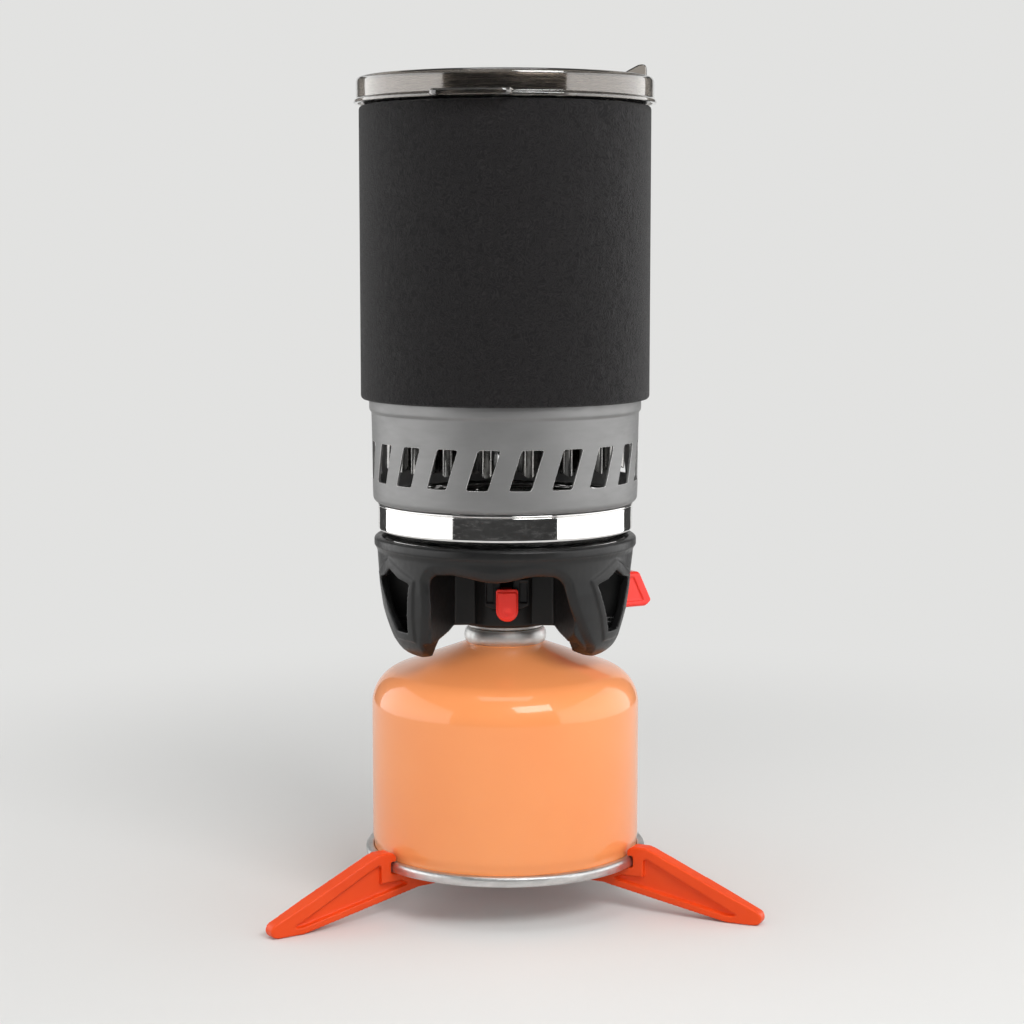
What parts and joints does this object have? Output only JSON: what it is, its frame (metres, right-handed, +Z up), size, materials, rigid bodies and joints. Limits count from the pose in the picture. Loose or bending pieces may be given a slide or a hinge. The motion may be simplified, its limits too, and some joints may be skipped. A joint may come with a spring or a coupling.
{
  "type": "canister stove",
  "caption": "Compact hiking stove: a pot with a heat exchanger, cozy and lid on a burner screwed to a gas canister that stands on a folding stand.",
  "frame": {"origin": "on the ground, under the middle of the whole stove's bounding box; the upright axis of the pot, burner and canister stands at x = -5 mm, y = -23 mm", "axes": "+Z up, -Y to the front, where the igniter button is, and +X to the right of someone who faces the button"},
  "size_m": [0.1916, 0.1748, 0.3297],
  "materials": {
    "stand_plastic": "satin moulded orange-red plastic",
    "canister_paint": "gloss orange paint",
    "bright_steel": "bright rolled steel",
    "brass": "machined brass",
    "rubber": "matt black rubber",
    "base_plastic": "fine-grained black plastic",
    "chrome": "polished",
    "burner_steel": "heat-stained steel",
    "red_plastic": "semi-gloss red plastic",
    "ivory_plastic": "ivory plastic",
    "ceramic": "glazed white ceramic",
    "pot_aluminium": "satin aluminium",
    "skirt_aluminium": "bead-blasted grey anodised aluminium",
    "neoprene": "charcoal knit-faced neoprene",
    "lid_plastic": "clear smoky plastic"
  },
  "bodies": {
    "stand": {"rear_leg": "stand_plastic", "hub_pin": "bright_steel"},
    "left_leg": {"left_leg": "stand_plastic"},
    "right_leg": {"right_leg": "stand_plastic"},
    "canister": {"canister_body": "canister_paint", "canister_base": "bright_steel", "valve_cup": "bright_steel", "canister_valve": "brass", "valve_stem": "ivory_plastic", "stem_gasket": "rubber"},
    "valve_seal": {"seal_ring": "rubber"},
    "burner": {"valve_body": "brass", "depressor_pin": "bright_steel", "seat_ring": "bright_steel", "valve_housing": "base_plastic", "gas_jet": "brass", "mixing_tube": "burner_steel", "gland_nut": "brass", "burner_base": "base_plastic", "base_screws": "bright_steel", "windshield_cup": "chrome", "burner_head": "burner_steel", "port_plate": "burner_steel", "igniter_frame": "base_plastic", "piezo_case": "ivory_plastic", "ignition_lead": "ceramic", "spark_electrode": "burner_steel", "electrode_sleeve": "ceramic"},
    "igniter": {"igniter_button": "red_plastic", "piezo_plunger": "ivory_plastic"},
    "knob": {"control_knob": "red_plastic", "valve_spindle": "bright_steel", "spindle_ring": "rubber"},
    "pot": {"pot_cup": "pot_aluminium", "fin_ring": "pot_aluminium", "fin_skirt": "skirt_aluminium", "cozy": "neoprene", "handle_bracket": "bright_steel", "bracket_rivets": "bright_steel"},
    "left_handle": {"left_handle": "bright_steel", "left_sleeve": "rubber"},
    "right_handle": {"right_handle": "bright_steel", "right_sleeve": "rubber"},
    "lid": {"lid": "lid_plastic"}
  },
  "joints": [
    {"name": "left_leg_fold", "type": "hinge", "parent": "stand", "child": "left_leg", "pos_m": [-0.005, -0.023, 0.0133], "axis": [0, 0, -1], "range_deg": [0, 90]},
    {"name": "right_leg_fold", "type": "hinge", "parent": "stand", "child": "right_leg", "pos_m": [-0.005, -0.023, 0.0156], "axis": [0, 0, 1], "range_deg": [0, 90]},
    {"name": "canister_turn", "type": "hinge", "parent": "stand", "child": "canister", "pos_m": [-0.005, -0.023, 0.0175], "axis": [0, 0, 1], "continuous": true},
    {"name": "burner_lift", "type": "slide", "parent": "canister", "child": "valve_seal", "axis": [0, 0, 1], "range_m": [0, 0.00273]},
    {"name": "burner_unscrew", "type": "hinge", "parent": "valve_seal", "child": "burner", "pos_m": [-0.005, -0.023, 0.105], "axis": [0, 0, 1], "range_deg": [0, 1080]},
    {"name": "knob_turn", "type": "hinge", "parent": "burner", "child": "knob", "pos_m": [0.02136, -0.00869, 0.12], "axis": [0.8788, 0.4772, 0], "range_deg": [0, 540]},
    {"name": "igniter_press", "type": "slide", "parent": "burner", "child": "igniter", "axis": [0, 0, -1], "range_m": [0, 0.004], "stiffness_N_per_m": 2500},
    {"name": "pot_lift", "type": "slide", "parent": "burner", "child": "pot", "axis": [0, 0, 1], "range_m": [0, 0.06]},
    {"name": "left_handle_fold", "type": "hinge", "parent": "pot", "child": "left_handle", "pos_m": [0.00324, 0.03714, 0.2609], "axis": [0, 0, 1], "range_deg": [0, 109]},
    {"name": "right_handle_fold", "type": "hinge", "parent": "pot", "child": "right_handle", "pos_m": [0.01396, 0.03466, 0.2609], "axis": [0, 0, -1], "range_deg": [0, 109]},
    {"name": "lid_lift", "type": "slide", "parent": "pot", "child": "lid", "axis": [0, 0, 1], "range_m": [0, 0.04]}
  ],
  "couplings": [
    {"joint": "burner_lift", "follows": "burner_unscrew", "m_per_rad": 0.00014438}
  ]
}
